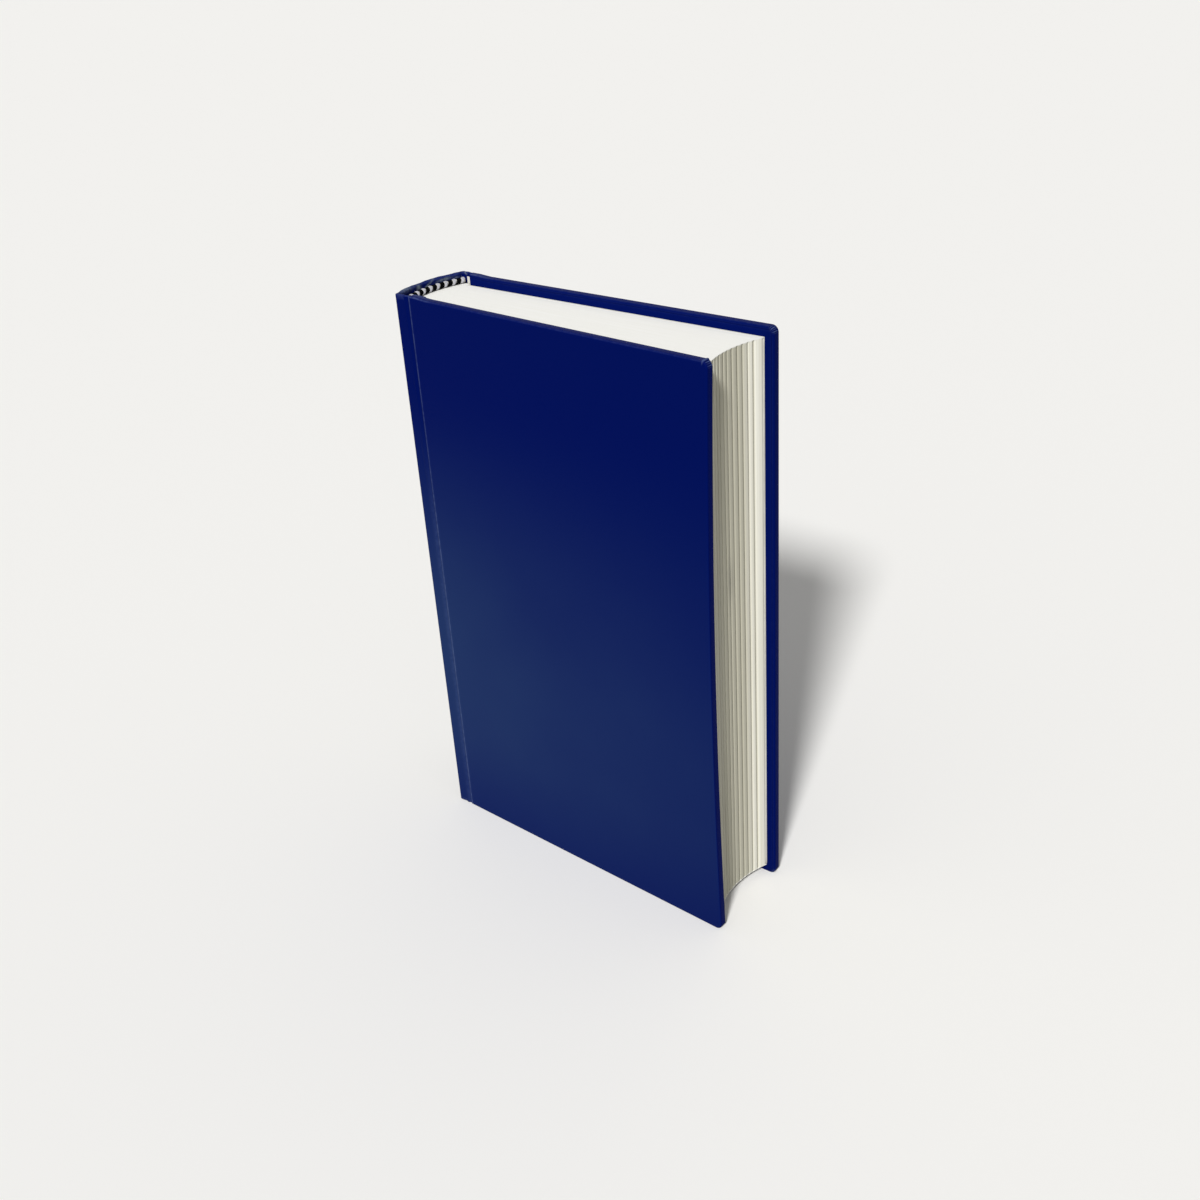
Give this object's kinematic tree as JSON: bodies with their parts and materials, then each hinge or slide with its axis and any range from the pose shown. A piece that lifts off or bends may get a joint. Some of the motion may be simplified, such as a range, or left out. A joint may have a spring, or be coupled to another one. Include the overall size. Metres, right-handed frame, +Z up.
{
  "type": "hardcover journal",
  "caption": "Case-bound blank book with a rounded hollow spine, striped headbands and board covers that open on their joints; stands on its tail.",
  "frame": {"origin": "centre of the foot of the whole book as it stands on its tail, front cover a little open", "axes": "+Z up along the book's height, +X from the spine to the fore-edge, -Y out of the front cover"},
  "size_m": [0.1344, 0.0413, 0.21],
  "materials": {
    "leaves": "uncoated, cut edges",
    "endpaper": "uncoated",
    "linen_thread": "waxed",
    "gauze": "open weave, sized",
    "kraft_paper": "uncoated",
    "spine_card": "matt",
    "headband_tape": "plain woven cotton",
    "light_yarn": "silky",
    "dark_yarn": "silky",
    "covering": "imitation leather, satin, very fine grain",
    "grey_board": "matt"
  },
  "bodies": {
    "book_block": {"text_block": "leaves", "sewing_thread": "linen_thread", "front_flyleaf": "endpaper", "back_flyleaf": "endpaper", "spine_mull": "gauze", "spine_lining": "kraft_paper", "spine_inlay": "spine_card", "head_headband_tape": "headband_tape", "head_headband_light_yarn": "light_yarn", "head_headband_dark_yarn": "dark_yarn", "tail_headband_tape": "headband_tape", "tail_headband_light_yarn": "light_yarn", "tail_headband_dark_yarn": "dark_yarn", "spine_covering": "covering"},
    "front_cover": {"front_board": "grey_board", "front_covering": "covering", "front_mull_flap": "gauze", "front_pastedown": "endpaper"},
    "back_cover": {"back_board": "grey_board", "back_covering": "covering", "back_mull_flap": "gauze", "back_pastedown": "endpaper"}
  },
  "joints": [
    {"name": "front_joint", "type": "hinge", "parent": "book_block", "child": "front_cover", "pos_m": [-0.05835, -0.01224, 0.105], "axis": [0, 0, -1], "range_deg": [0, 170]},
    {"name": "back_joint", "type": "hinge", "parent": "book_block", "child": "back_cover", "pos_m": [-0.05835, 0.02066, 0.105], "axis": [0, 0, 1], "range_deg": [0, 170]}
  ]
}
